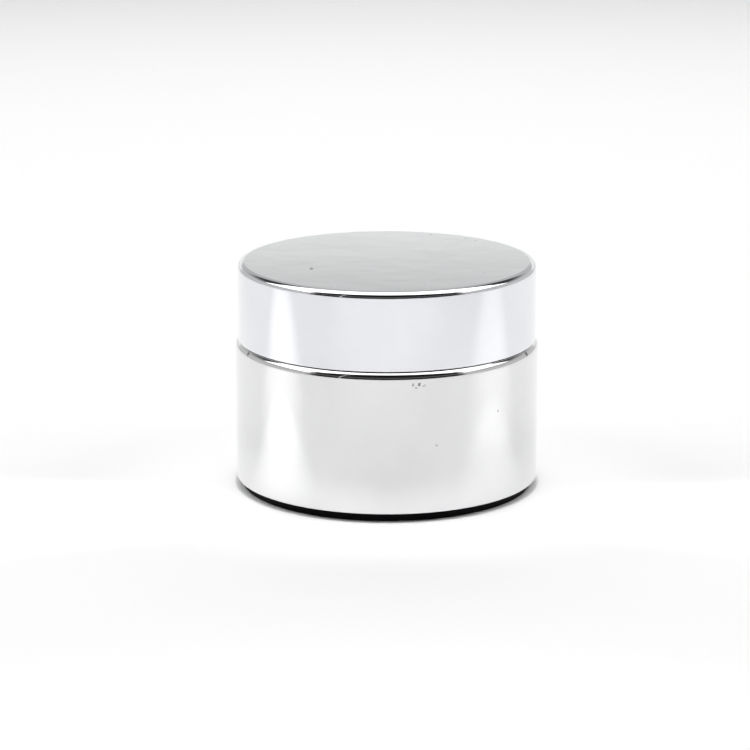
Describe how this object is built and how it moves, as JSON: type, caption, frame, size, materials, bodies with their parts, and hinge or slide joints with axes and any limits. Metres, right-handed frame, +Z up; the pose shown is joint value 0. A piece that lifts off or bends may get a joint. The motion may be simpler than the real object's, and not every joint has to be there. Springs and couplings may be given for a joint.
{
  "type": "cosmetic cream jar",
  "caption": "Straight-sided round cream jar with a mirror-silver double-wall body, a white inner cup and a mirror-silver screw lid.",
  "frame": {"origin": "centre of the foot's underside, on the surface that the jar stands on", "axes": "+Z up along the axis of the jar and its lid; the body is the same all round, so +X and +Y are arbitrary"},
  "size_m": [0.06, 0.06, 0.045],
  "materials": {
    "metallised_shell": "polished",
    "black_base": "satin",
    "white_cup": "gloss",
    "seal_plastic": "satin",
    "gasket_foam": "matte",
    "white_liner": "gloss",
    "metallised_lid": "polished"
  },
  "bodies": {
    "jar": {"outer_jar": "metallised_shell", "base_cover": "black_base", "inner_cup": "white_cup"},
    "seal": {"sealing_disc": "seal_plastic"},
    "gasket": {"lid_gasket": "gasket_foam"},
    "lid": {"lid_liner": "white_liner", "lid_shell": "metallised_lid"}
  },
  "joints": [
    {"name": "lift_off", "type": "slide", "parent": "jar", "child": "seal", "axis": [0, 0, 1], "range_m": [0, 0.05]},
    {"name": "lid_rise", "type": "slide", "parent": "seal", "child": "gasket", "axis": [0, 0, 1], "range_m": [0, 0.0034]},
    {"name": "lid_turn", "type": "hinge", "parent": "gasket", "child": "lid", "pos_m": [0, 0, 0.045], "axis": [0, 0, 1], "range_deg": [0, 375]}
  ],
  "couplings": [
    {"joint": "lid_rise", "follows": "lid_turn", "m_per_rad": 0.0005093}
  ]
}
